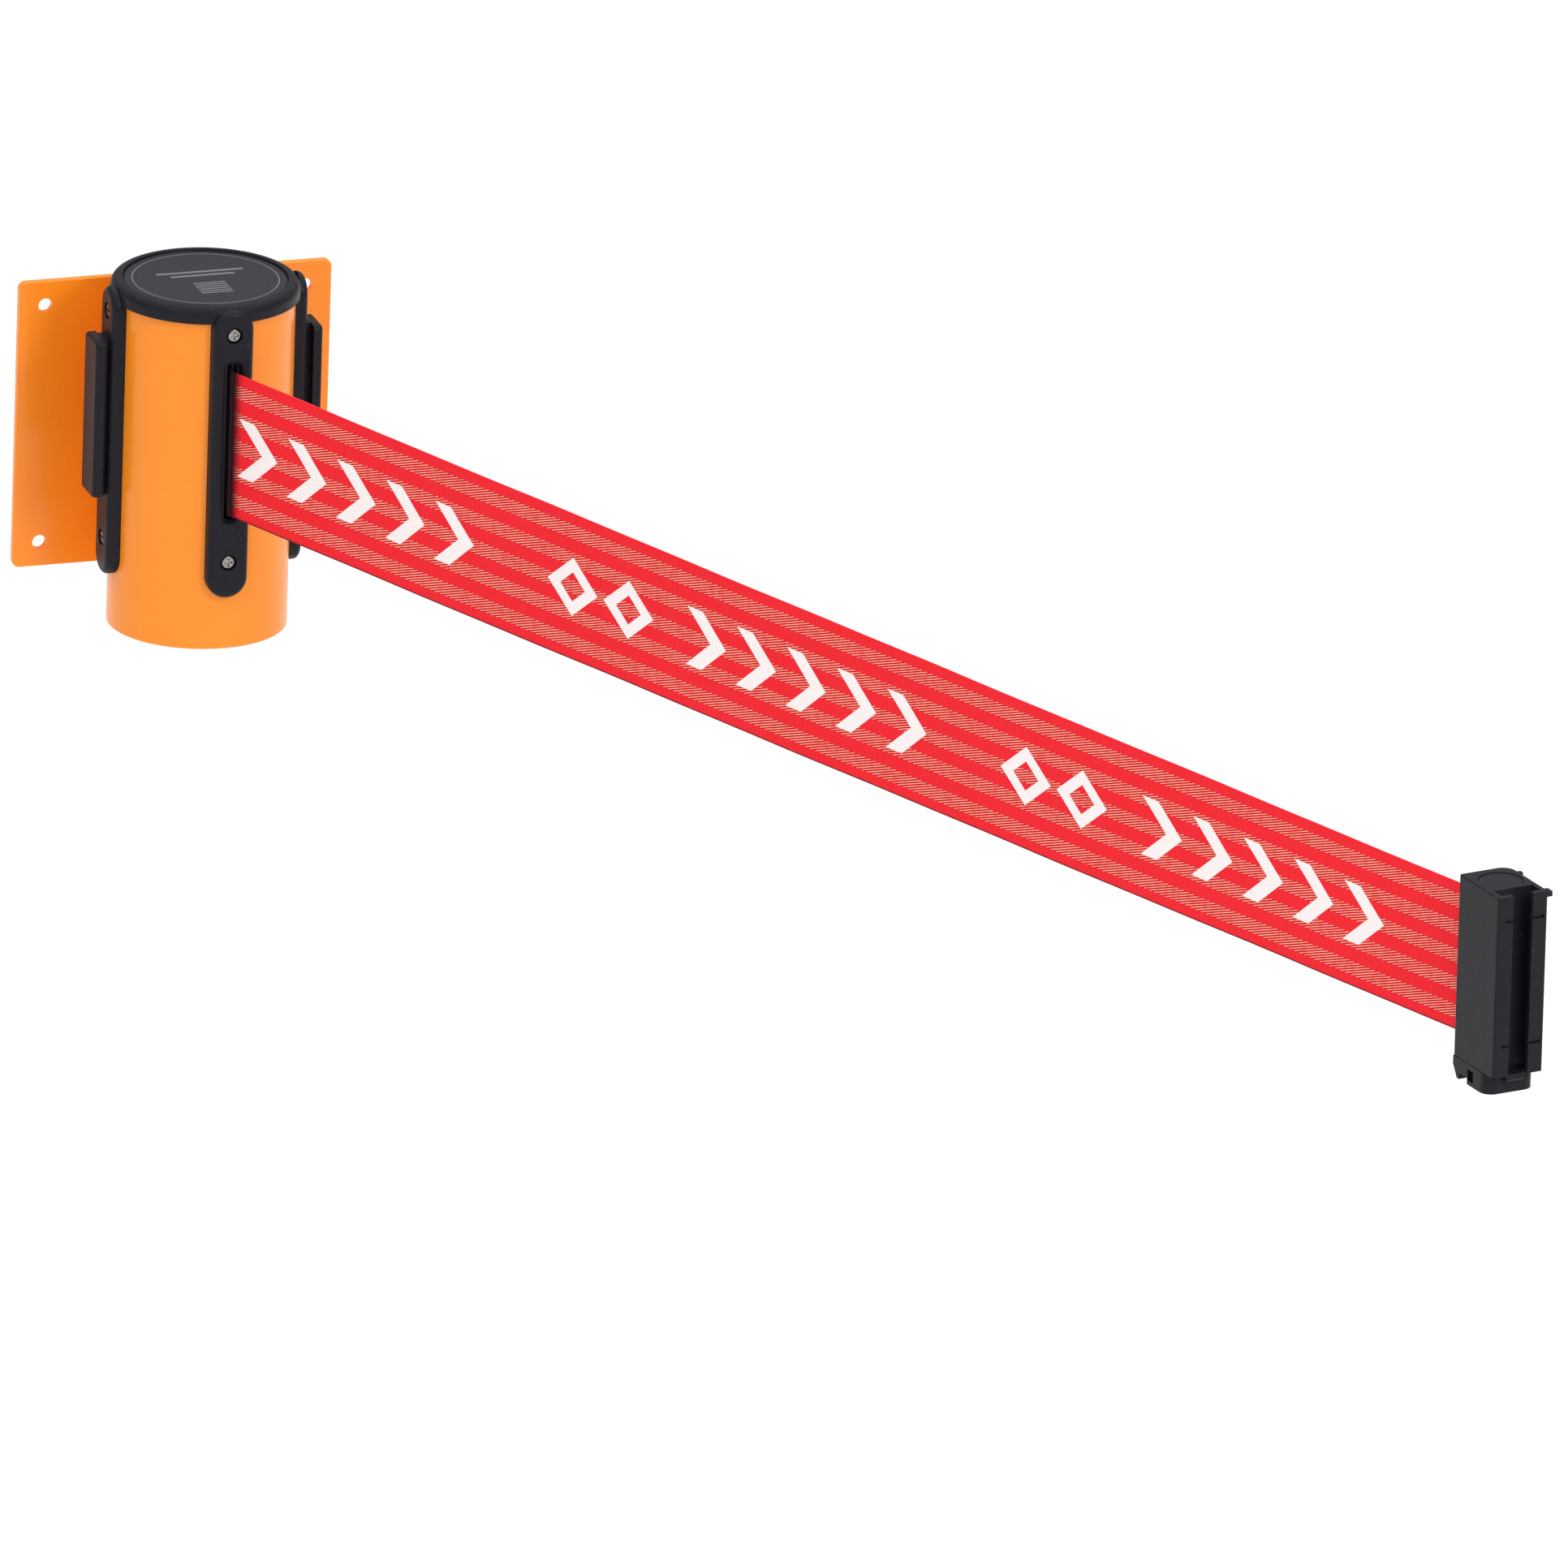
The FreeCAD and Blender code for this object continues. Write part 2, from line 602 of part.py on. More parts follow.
def spiral_side(r_start, turns):
    """Half circles whose centres alternate, so that they join smoothly into a spiral."""
    arcs = []
    x, r, sign = 0.0, r_start, 1
    for _ in range(turns):
        start = Vector(x + sign * r, 0, SPRING_Z[0])
        mid = Vector(x, sign * r, SPRING_Z[0])
        end = Vector(x - sign * r, 0, SPRING_Z[0])
        arcs.append(Part.Arc(start, mid, end).toShape())
        x += sign * SPRING_PITCH / 2
        r += SPRING_PITCH / 2
        sign = -sign
    return arcs


def power_spring():
    inner = spiral_side(ARBOR_R + CLEAR, SPRING_HALF_TURNS)
    outer = spiral_side(ARBOR_R + CLEAR + SPRING_T, SPRING_HALF_TURNS)
    ends = [
        Part.LineSegment(a.Vertexes[k].Point, b.Vertexes[k].Point).toShape()
        for a, b, k in ((inner[0], outer[0], 0), (inner[-1], outer[-1], 1))
    ]
    wire = Part.Wire(Part.__sortEdges__(inner + outer + ends))
    strip = Part.Face(wire).extrude(Vector(0, 0, SPRING_Z[1] - SPRING_Z[0]))
    return on_axis(strip)


# --- belt -------------------------------------------------------------------------
def belt_inner_run():
    """The belt from the coil's tangent, round the left guide post and out to the mouth."""
    bend_r = POST_X
    post = Vector(-POST_X, POST_Y, 0)
    coil_r = COIL_R + CLEAR + BELT_T / 2
    between = math.degrees(math.acos(-(coil_r + bend_r) / post.Length))
    side = math.degrees(math.atan2(post.y, post.x)) + between
    leave = polar(coil_r, side + 180)
    arrive = post + polar(bend_r, side)
    half = polar(BELT_T / 2, side)
    run = prism(
        [tuple(p)[:2] for p in (leave + half, arrive + half, arrive - half, leave - half)],
        BELT_Z0, BELT_Z1,
    )
    bend = ring(bend_r - BELT_T / 2, bend_r + BELT_T / 2, BELT_Z0, BELT_Z1)
    far = [tuple(polar(9, a))[:2] for a in (side, side / 2, 0)]
    bend = bend.common(prism([(0, 0)] + far, BELT_Z0, BELT_Z1))
    bend.translate(post)
    out = block(-BELT_T / 2, BELT_T / 2, -PIVOT_R + 2 * CLEAR, POST_Y, BELT_Z0, BELT_Z1)
    return on_axis(run.fuse([bend, out]).removeSplitter())


def pivot():
    return Vector(0, AXIS_Y - PIVOT_R, 0)


def along_belt(shape):
    """From the belt's own frame, +X along the belt from the mouth, to the part's frame."""
    out = turned(shape, BELT_ANGLE - 90)
    out.translate(pivot())
    return out


def at_belt_end(shape):
    """From the belt end's own frame, origin on its pin, to the part's frame."""
    out = turned(shape, END_YAW - 90)
    out.translate(pivot() + polar(BELT_REACH, BELT_ANGLE - 90))
    return out


def belt_run():
    end = BELT_REACH - LOOP_OUT_R - CLEAR
    return along_belt(block(CLEAR, end, -BELT_T / 2, BELT_T / 2, BELT_Z0, BELT_Z1))


def belt_end_loop():
    return at_belt_end(ring(LOOP_IN_R, LOOP_OUT_R, BELT_Z0, BELT_Z1))


# --- belt end ---------------------------------------------------------------------
def corner_edges(shape, x_side, y_side):
    """The upright edges in one corner: each side is +1, -1, or 0 for both."""
    def inside(e):
        v = e.Vertexes[0]
        return v.X * x_side >= 0 and v.Y * y_side >= 0
    return [e for e in vertical_edges(shape) if inside(e)]


def end_housing():
    w = END_HALF_W
    low = END_Z0 - OVER
    high = END_Z1 + OVER
    body = block(END_X0, END_X1, -w, w, END_Z0, END_Z1)
    body = body.makeFillet(END_FAR_R, corner_edges(body, -1, 1))
    body = body.makeFillet(END_EDGE_R, [
        e for e in vertical_edges(body)
        if e.Vertexes[0].X > END_X1 - 0.1 or e.Vertexes[0].Y < -w + 0.1
    ])
    body = body.makeFillet(END_TOP_R, edges_at(body, lambda p: abs(p.z - END_Z1) < 1e-6))
    for x0, x1 in LIP_X:
        body = body.fuse(block(x0, x1, w - OVER, w + LIP_OUT, END_Z1 - LIP_H, END_Z1 - END_TOP_R))
    body = body.cut(rod(CAVITY_R, low, END_Z1 - CAVITY_ROOF))
    body = body.cut(rod(CORE_CAP_R + 0.1, END_Z1 - CORE_CAP_T, high))
    body = body.cut(rod(PIN_R, END_Z1 - CAVITY_ROOF - OVER, END_Z1))
    inner, outer = BELT_MOUTH_HALF
    x0 = END_X0 - OVER
    mouth = [(BELT_MOUTH_X, -inner), (BELT_MOUTH_X, inner), (x0, outer), (x0, -outer)]
    body = body.cut(prism(mouth, BELT_Z0 - BELT_MOUTH_GAP, BELT_Z1 + BELT_MOUTH_GAP))
    half = CHANNEL_HALF_W
    body = body.cut(block(UNDERCUT_X[1] - OVER, END_X1 + OVER, -half, half, low, high))
    half = UNDERCUT_HALF_W
    body = body.cut(block(UNDERCUT_X[0], UNDERCUT_X[1], -half, half, low, high))
    for z in NOTCH_Z:
        for y0, y1 in NOTCH_Y:
            notch = block(END_X1 - NOTCH_D, END_X1 + OVER, y0, y1, z - NOTCH_H / 2, z + NOTCH_H / 2)
            body = body.cut(notch)
    return at_belt_end(body.removeSplitter())


def core_pin():
    """The pin that the belt's end is looped round, with its round head in the top face."""
    top = END_Z1 - CORE_CAP_SINK
    head = rod(CORE_CAP_R, END_Z1 - CORE_CAP_T, top)
    head = head.makeFillet(0.3, edges_at(head, lambda p: abs(p.z - top) < 1e-6))
    return at_belt_end(head.fuse(rod(PIN_R, END_Z0 - 2, END_Z1 - CORE_CAP_T)).removeSplitter())


def end_cap():
    """Closes the bottom of the belt end, with its toe under the rail channel."""
    x0, x1 = END_X0, END_CAP_X1
    w = END_HALF_W
    body = block(x0, x1, -w, w, END_CAP_Z, END_Z0)
    body = body.makeFillet(END_CAP_OUTER_R, corner_edges(body, 1, 0))
    body = body.makeFillet(END_FAR_R, [
        e for e in vertical_edges(body) if e.Vertexes[0].X < x0 + 0.1 and e.Vertexes[0].Y > 0
    ])
    rim = edges_at(body, lambda p: abs(p.z - END_Z0) < 1e-6)
    body = body.makeChamfer(SEAM, rim)
    slope = Part.Face(Part.makePolygon([
        Vector(x0 - OVER, -2 * w, END_CAP_Z - OVER),
        Vector(x0 + WEDGE_W, -2 * w, END_CAP_Z - OVER),
        Vector(x0, -2 * w, END_Z0 - WEDGE_TOP),
        Vector(x0 - OVER, -2 * w, END_Z0 - WEDGE_TOP),
        Vector(x0 - OVER, -2 * w, END_CAP_Z - OVER),
    ]))
    body = body.cut(slope.extrude(Vector(0, 4 * w, 0)))
    half = CHANNEL_HALF_W - 0.2
    toe = block(TOE_X[0], TOE_X[1], -half, half, END_Z0 - TOE_H, END_Z0)
    toe_low = edges_at(toe, lambda p: abs(p.x - TOE_X[1]) < 1e-6 and p.z < END_Z0 - 1)
    body = body.fuse(toe.makeFillet(TOE_R, toe_low))
    body = body.fuse(ring(PIN_R, CAVITY_R, END_Z0, BELT_Z0 - 1.6))
    body = body.cut(rod(PIN_R, END_Z0 - 2, END_Z0 + 10))
    window_z = [END_CAP_Z + z for z in WINDOW_Z]
    body = body.cut(block(WINDOW_X[0], WINDOW_X[1], -w - OVER, -w + WINDOW_D, *window_z))
    sx, sy = END_SCREW_AT
    r = END_SCREW_POCKET_R
    low = END_CAP_Z - OVER
    seat = END_CAP_Z + END_SCREW_POCKET_D
    body = body.cut(block(sx - r, sx + r, -w - OVER, sy, low, seat))
    body = body.cut(rod(r, low, seat, sx, sy))
    body = body.cut(rod(END_SCREW_R, END_CAP_Z, END_Z0 + OVER, sx, sy))
    return at_belt_end(body.removeSplitter())


def end_cap_screw():
    sx, sy = END_SCREW_AT
    seat = END_CAP_Z + END_SCREW_POCKET_D
    head = rod(END_SCREW_HEAD_R, seat - END_SCREW_HEAD_H, seat, sx, sy)
    arm, t = END_SCREW_CROSS_HALF
    low = seat - END_SCREW_HEAD_H - OVER
    deep = seat - END_SCREW_HEAD_H / 2
    cross = block(sx - arm, sx + arm, sy - t, sy + t, low, deep)
    cross = cross.fuse(block(sx - t, sx + t, sy - arm, sy + arm, low, deep))
    shank = rod(END_SCREW_R, seat, END_Z0, sx, sy)
    return at_belt_end(head.cut(cross).fuse(shank))


PIECES = {
    "wall_plate": wall_plate,
    "plate_screws": plate_screws,
    "rear_saddle": rear_saddle,
    "nut_bar": nut_bar,
    "canister_tube": canister_tube,
    "top_cap": top_cap,
    "cap_label": cap_label,
    "bottom_cap": bottom_cap,
    "front_cover": front_cover,
    "left_receiver": lambda: receiver(-90),
    "right_receiver": lambda: receiver(90),
    "front_cover_screws": lambda: cover_screws(0),
    "left_receiver_screws": lambda: cover_screws(-90),
    "right_receiver_screws": lambda: cover_screws(90),
    "cassette_upper_plate": upper_plate,
    "cassette_lower_plate": lower_plate,
    "cassette_pillars": pillars,
    "pillar_screws": pillar_screws,
    "upper_bush": lambda: bush(UPPER_Z[0], UPPER_Z[1] - 1.0, UPPER_Z[0] - BUSH_FLANGE_T),
    "lower_bush": lambda: bush(LOWER_Z[0], LOWER_Z[1], LOWER_Z[1]),
    "guide_posts": guide_posts,
    "spool_shaft": spool_shaft,
    "shaft_clips": shaft_clips,
    "spool_drum": spool_drum,
    "belt_coil": belt_coil,
    "brake_ring": brake_ring,
    "brake_rotor": brake_rotor,
    "brake_shoes": brake_shoes,
    "spring_can": spring_can,
    "can_lid": can_lid,
    "can_screws": can_screws,
    "power_spring": power_spring,
    "belt_inner_run": belt_inner_run,
    "belt_run": belt_run,
    "belt_end_loop": belt_end_loop,
    "end_housing": end_housing,
    "core_pin": core_pin,
    "end_cap": end_cap,
    "end_cap_screw": end_cap_screw,
}

os.makedirs("parts", exist_ok=True)
for name, make in PIECES.items():
    shape = make()
    shape.exportStep("parts/" + name + ".step")
    print(name, shape.isValid(), len(shape.Solids), round(shape.Volume))
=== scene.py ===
"""Looks for the wall-mounted retractable belt barrier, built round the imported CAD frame."""

import json
import math

import bmesh
import bpy
from mathutils import Matrix, Vector


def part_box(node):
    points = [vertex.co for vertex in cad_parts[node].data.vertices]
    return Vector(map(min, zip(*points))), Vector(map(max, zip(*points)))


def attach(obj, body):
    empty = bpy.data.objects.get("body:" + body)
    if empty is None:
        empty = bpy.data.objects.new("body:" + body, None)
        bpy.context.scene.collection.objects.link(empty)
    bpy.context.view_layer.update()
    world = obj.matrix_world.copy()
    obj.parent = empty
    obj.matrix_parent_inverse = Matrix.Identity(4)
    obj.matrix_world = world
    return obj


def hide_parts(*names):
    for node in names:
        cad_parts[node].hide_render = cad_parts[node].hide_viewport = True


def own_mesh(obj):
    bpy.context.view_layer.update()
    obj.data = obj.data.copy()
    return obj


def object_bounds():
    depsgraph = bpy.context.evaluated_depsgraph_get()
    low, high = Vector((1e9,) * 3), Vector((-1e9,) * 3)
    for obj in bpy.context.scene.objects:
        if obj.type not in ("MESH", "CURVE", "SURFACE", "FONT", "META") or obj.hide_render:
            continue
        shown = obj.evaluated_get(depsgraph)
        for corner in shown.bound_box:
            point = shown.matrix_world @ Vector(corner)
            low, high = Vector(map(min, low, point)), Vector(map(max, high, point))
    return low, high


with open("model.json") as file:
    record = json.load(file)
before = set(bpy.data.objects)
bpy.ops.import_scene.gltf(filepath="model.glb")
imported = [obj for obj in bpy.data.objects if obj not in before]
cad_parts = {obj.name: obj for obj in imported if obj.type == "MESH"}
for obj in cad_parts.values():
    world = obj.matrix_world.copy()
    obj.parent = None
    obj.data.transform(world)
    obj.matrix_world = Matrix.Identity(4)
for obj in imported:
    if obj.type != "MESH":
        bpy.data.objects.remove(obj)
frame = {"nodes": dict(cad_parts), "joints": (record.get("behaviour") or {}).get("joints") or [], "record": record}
cad_box = [list(v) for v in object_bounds()]
NODES = frame["nodes"]
JOINTS = {j["name"]: j for j in frame["joints"]}
MM = 0.001
CORNERS = ((-1, -1), (1, -1), (1, 1), (-1, 1))

# --- places, worked out from the frame ------------------------------------------------
PIVOT = Vector(JOINTS["belt_swing"]["pos_m"])
ALONG = Vector(JOINTS["belt_pull"]["axis"]).normalized()
END_PIN = Vector(JOINTS["end_swivel"]["pos_m"])
BELT_LOW, BELT_HIGH = (v.z for v in map(Vector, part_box("belt_coil")))
BELT_MID = (BELT_LOW + BELT_HIGH) / 2
BELT_W = BELT_HIGH - BELT_LOW
TUBE_LOW, TUBE_HIGH = map(Vector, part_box("canister_tube"))
TUBE_AXIS = (TUBE_LOW + TUBE_HIGH) / 2
LABEL_LOW, LABEL_HIGH = map(Vector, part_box("cap_label"))
REACH = (END_PIN - PIVOT).dot(ALONG)
LOOP_LOW, LOOP_HIGH = map(Vector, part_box("belt_end_loop"))
LOOP_R = (LOOP_HIGH.x - LOOP_LOW.x) / 2
BELT_TURN = math.atan2(ALONG.y, ALONG.x)
COIL_LOW, COIL_HIGH = map(Vector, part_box("belt_coil"))
COIL_R = (COIL_HIGH.x - COIL_LOW.x) / 2

# --- belt ------------------------------------------------------------------------------
BELT_T = 0.6 * MM
SELVEDGE_T = 0.75 * MM
SELVEDGE_W = 1.1 * MM
SELVEDGE_STEPS = 6
SELVEDGE_CORE = 0.45
RIPPLE = 0.12 * MM
# each wave of the ripple: how fast it runs along the belt, and up it, and its share
RIPPLE_WAVES = ((41.0, 20.0, 1.0), (97.0, -60.0, 0.6))
BELT_START = -1.2 * MM
BELT_STEPS = 260
BELT_FADE = 0.03
FACE_ROWS = 16
INNER_ROWS = 3
INNER_T = 0.5 * MM
TURN_STEPS = 48
HUB_R = 9.0 * MM
POST_X = -2.35 * MM
POST_Y = -25.8 * MM
POST_GAP = 0.3 * MM
# points on the run from coil to post, round the post, and from post to slot
RUN_STEPS = 6
POST_STEPS = 8
MOUTH_STEPS = 4
LOOP_TURNS = 1.5
LOOP_DEPTH = 0.92 * MM
LOOP_TOUCH = 0.1 * MM
TWILL_PERIOD = 9.55
TWILL_SHARE = 0.503
TWILL_TOP = 21.5
TWILL_PITCH = 0.88
TWILL_SLOPE = math.tan(math.radians(19.0))
PLAIN_PITCH = 1.15
STITCH = 0.8
# dark marks, in mm: painted shadow along the belt at the slot, and a dark line up from its lower edge
MOUTH_SHADE = (0.3, 5.5)
EDGE_SHADE = (0.8, 0.3)

# --- printed marks, in mm along the belt ------------------------------------------------
REPEAT = 227.0
REPEAT_START = 3.4
CHEVRON_PITCH = 25.0
CHEVRON_COUNT = 5
CHEVRON_ARM = 7.8
CHEVRON_LEAN = 12.0
DIAMOND_START = 157.0
DIAMOND_PITCH = 28.0
DIAMOND_COUNT = 2
DIAMOND_W = 25.0
DIAMOND_HOLE = 0.5
MARK_HALF_H = 10.2
MARKS_END = 600.0

# --- print on the cap's disc --------------------------------------------------------------
RING_R = (24.3 * MM, 24.7 * MM)
RING_STEPS = 72
BARS = ((30 * MM, 7.0 * MM), (22 * MM, 3.6 * MM))
BAR_H = 1.5 * MM
HATCH_ROWS = 6
HATCH_START = 4.0 * MM
HATCH_PITCH = 1.9 * MM
HATCH_W = 11 * MM
HATCH_H = 0.9 * MM
PRINT_SINK = 0.01 * MM
PRINT_T = 0.04 * MM

# --- camera and light -------------------------------------------------------------------
CAMERA_AZIMUTH = math.radians(-18.0)
CAMERA_ELEVATION = math.radians(19.98)
CAMERA_ROLL = math.radians(1.75)
CAMERA_LENS = 1600.0
SENSOR = 36.0
VIEW_WIDTH = 0.5174
VIEW_RIGHT = 0.1972
VIEW_UP = -0.0492
VIEW_DEPTH = 0.20
CLIP_NEAR = 0.2
CLIP_FAR = 4.0
FLOOR_DROP = 0.42
FLOOR_HALF = 14.0
WORLD_LOW = 0.34
WORLD_HIGH = 0.98
WORLD_BELOW = 1.05
WORLD_FADE_FROM = 0.25
# heights between which the world turns white under the horizon
HORIZON = (-0.02, -0.06)
LIGHT_AIM = (0.1, -0.2, 0.0)
# each lamp: name, place, what it points at, size in metres and power in watts
LAMPS = (
    ("overhead", (0.2, 0.4, 4.0), (0.2, 0.4, 0.0), (8.0, 8.0), 150),
    ("key", (0.75, -2.1, 1.2), LIGHT_AIM, (0.6, 0.6), 16),
    ("side", (-1.7, -1.2, 1.2), LIGHT_AIM, (0.5, 1.2), 5),
)


# ========================================================================================
# node helpers
# ========================================================================================
class Graph:
    """A material's node tree, with short calls for the nodes used here."""

    def __init__(self, name):
        self.mat = bpy.data.materials.new(name)
        self.mat.use_nodes = True
        self.tree = self.mat.node_tree
        self.shader = self.tree.nodes["Principled BSDF"]

    def node(self, kind, **settings):
        n = self.tree.nodes.new(kind)
        for key, value in settings.items():
            setattr(n, key, value)
        return n

    def put(self, socket, value):
        if isinstance(value, bpy.types.NodeSocket):
            self.tree.links.new(value, socket)
        elif value is not None:
            socket.default_value = value

    def math(self, op, a, b=None, c=None):
        n = self.node("ShaderNodeMath", operation=op)
        for socket, value in zip(n.inputs, (a, b, c)):
            self.put(socket, value)
        return n.outputs[0]

    def less(self, a, b):
        return self.math("LESS_THAN", a, b)

    def step(self, value, low, high):
        """0 below low, 1 above high, smooth between."""
        n = self.node("ShaderNodeMapRange", interpolation_type="SMOOTHSTEP")
        self.put(n.inputs["Value"], value)
        self.put(n.inputs["From Min"], low)
        self.put(n.inputs["From Max"], high)
        return n.outputs["Result"]

    def scale(self, value, low, high):
        n = self.node("ShaderNodeMapRange")
        self.put(n.inputs["Value"], value)
        n.inputs["To Min"].default_value = low
        n.inputs["To Max"].default_value = high
        return n.outputs["Result"]

    def mix(self, share, a, b):
        n = self.node("ShaderNodeMix", data_type="RGBA")
        self.put(n.inputs[0], share)
        self.put(n.inputs[6], a)
        self.put(n.inputs[7], b)
        return n.outputs[2]

    def place(self):
        return self.node("ShaderNodeTexCoord").outputs["Object"]

    def noise(self, scale, detail=3.0, rough=0.55, stretch=None):
        where = self.place()
        if stretch:
            m = self.node("ShaderNodeMapping")
            self.put(m.inputs["Vector"], where)
            m.inputs["Scale"].default_value = stretch
            where = m.outputs["Vector"]
        n = self.node("ShaderNodeTexNoise")
        self.put(n.inputs["Vector"], where)
        n.inputs["Scale"].default_value = scale
        n.inputs["Detail"].default_value = detail
        n.inputs["Roughness"].default_value = rough
        return n.outputs["Fac"]

    def bump(self, height, distance, strength):
        n = self.node("ShaderNodeBump")
        n.inputs["Strength"].default_value = strength
        n.inputs["Distance"].default_value = distance
        self.put(n.inputs["Height"], height)
        return n.outputs["Normal"]

    def set(self, **values):
        for key, value in values.items():
            self.put(self.shader.inputs[key.replace("_", " ")], value)
        return self.mat


def rgb(r, g, b):
    return (r, g, b, 1.0)


# ========================================================================================
# materials
# ========================================================================================
def powder_coat():
    g = Graph("powder_coat_orange")
    broad = g.noise(14.0, 2.0)
    peel = g.noise(1150.0, 2.0, 0.5)
    speck = g.noise(5200.0, 1.0)
    shade = g.mix(broad, rgb(1.0, 0.262, 0.010), rgb(1.0, 0.302, 0.016))
    shade = g.mix(g.math("MULTIPLY", g.step(speck, 0.62, 0.75), 0.18), shade, rgb(1.0, 0.40, 0.08))
    height = g.math("ADD", peel, g.math("MULTIPLY", speck, 0.15))
    return g.set(
        Base_Color=shade,
        Roughness=g.scale(peel, 0.26, 0.36),
        Specular_IOR_Level=0.22,
        Coat_Weight=0.28,
        Coat_Roughness=0.06,
        Normal=g.bump(height, 0.00004, 0.35),
    )


def black_plastic():
    g = Graph("black_plastic")
    grain = g.noise(2300.0, 3.0, 0.6)
    cloud = g.noise(60.0, 2.0)
    dust = g.step(g.noise(900.0, 1.0), 0.74, 0.80)
    shade = g.mix(cloud, rgb(0.0108, 0.0102, 0.0148), rgb(0.0146, 0.0140, 0.0192))
    shade = g.mix(g.math("MULTIPLY", dust, 0.25), shade, rgb(0.16, 0.16, 0.18))
    return g.set(
        Base_Color=shade,
        Roughness=g.scale(grain, 0.30, 0.48),
        Specular_IOR_Level=0.34,
        IOR=1.28,
        Normal=g.bump(grain, 0.00003, 0.5),
    )


def label_film():
    g = Graph("label_black")
    grain = g.noise(3000.0, 2.0)
    shade = g.mix(grain, rgb(0.013, 0.013, 0.018), rgb(0.021, 0.021, 0.027))
    return g.set(
        Base_Color=shade,
        Roughness=g.scale(grain, 0.40, 0.52),
        IOR=1.35,
        Normal=g.bump(grain, 0.00001, 0.4),
    )


def label_ink():
    g = Graph("label_ink")
    worn = g.noise(1500.0, 2.0)
    shade = g.mix(worn, rgb(0.13, 0.13, 0.145), rgb(0.20, 0.20, 0.215))
    return g.set(Base_Color=shade, Roughness=g.scale(worn, 0.40, 0.55))


def metal(name, dark, light, rough, stretch):
    g = Graph(name)
    lines = g.noise(700.0, 4.0, 0.65, stretch=stretch)
    stain = g.noise(90.0, 3.0)
    shade = g.mix(lines, rgb(*dark), rgb(*light))
    shade = g.mix(g.math("MULTIPLY", g.step(stain, 0.55, 0.8), 0.25), shade, rgb(*dark))
    return g.set(
        Base_Color=shade,
        Metallic=1.0,
        Roughness=g.scale(lines, rough - 0.06, rough + 0.08),
        Normal=g.bump(lines, 0.00002, 0.3),
    )


def dull(name, dark, light, rough):
    g = Graph(name)
    grain = g.noise(1600.0, 3.0)
    cloud = g.noise(45.0, 2.0)
    shade = g.mix(cloud, rgb(*dark), rgb(*light))
    return g.set(
        Base_Color=shade,
        Roughness=g.scale(grain, rough - 0.08, rough + 0.08),
        Normal=g.bump(grain, 0.00003, 0.5),
    )


def belt_place(g):
    """The belt's own coordinates in mm: along it from the slot, and up from its middle."""
    shift = g.node("ShaderNodeVectorMath", operation="SUBTRACT")
    g.put(shift.inputs[0], g.place())
    shift.inputs[1].default_value = (PIVOT.x, PIVOT.y, BELT_MID)
    turn = g.node("ShaderNodeVectorRotate", rotation_type="Z_AXIS")
    g.put(turn.inputs["Vector"], shift.outputs[0])
    turn.inputs["Angle"].default_value = -BELT_TURN
    grow = g.node("ShaderNodeVectorMath", operation="SCALE")
    g.put(grow.inputs[0], turn.outputs[0])
    grow.inputs["Scale"].default_value = 1 / MM
    split = g.node("ShaderNodeSeparateXYZ")
    g.put(split.inputs[0], grow.outputs[0])
    return split.outputs[0], split.outputs[2]


def between(g, value, low, high):
    return g.math("MULTIPLY", g.less(low, value), g.less(value, high))


def chevrons(g, along, up_share):
    """A row of arrowheads that point along the belt."""
    row = between(g, along, 0.0, CHEVRON_PITCH * CHEVRON_COUNT)
    here = g.math("MODULO", along, CHEVRON_PITCH)
    lean = g.math("MULTIPLY", g.math("SUBTRACT", 1.0, up_share), CHEVRON_LEAN)
    stroke = between(g, g.math("SUBTRACT", here, lean), 0.0, CHEVRON_ARM)
    return g.math("MULTIPLY", row, stroke)


def diamonds(g, along, up_share):
    """A row of hollow diamonds."""
    start = g.math("SUBTRACT", along, DIAMOND_START)
    row = between(g, start, 0.0, DIAMOND_PITCH * DIAMOND_COUNT)
    here = g.math("SUBTRACT", g.math("MODULO", start, DIAMOND_PITCH), DIAMOND_W / 2)
    out = g.math("ADD", g.math("DIVIDE", g.math("ABSOLUTE", here), DIAMOND_W / 2), up_share)
    return g.math("MULTIPLY", row, between(g, out, DIAMOND_HOLE, 1.0))


def printed_marks(g, along, up):
    """1 where the belt is printed white."""
    start = g.math("SUBTRACT", along, REPEAT_START)
    here = g.math("FLOORED_MODULO", start, REPEAT)
    up_share = g.math("DIVIDE", g.math("ABSOLUTE", up), MARK_HALF_H)
    marks = g.math("MAXIMUM", chevrons(g, here, up_share), diamonds(g, here, up_share))
    inside = g.math("MULTIPLY", g.less(up_share, 1.0), between(g, along, REPEAT_START, MARKS_END))
    return g.math("MULTIPLY", marks, inside)


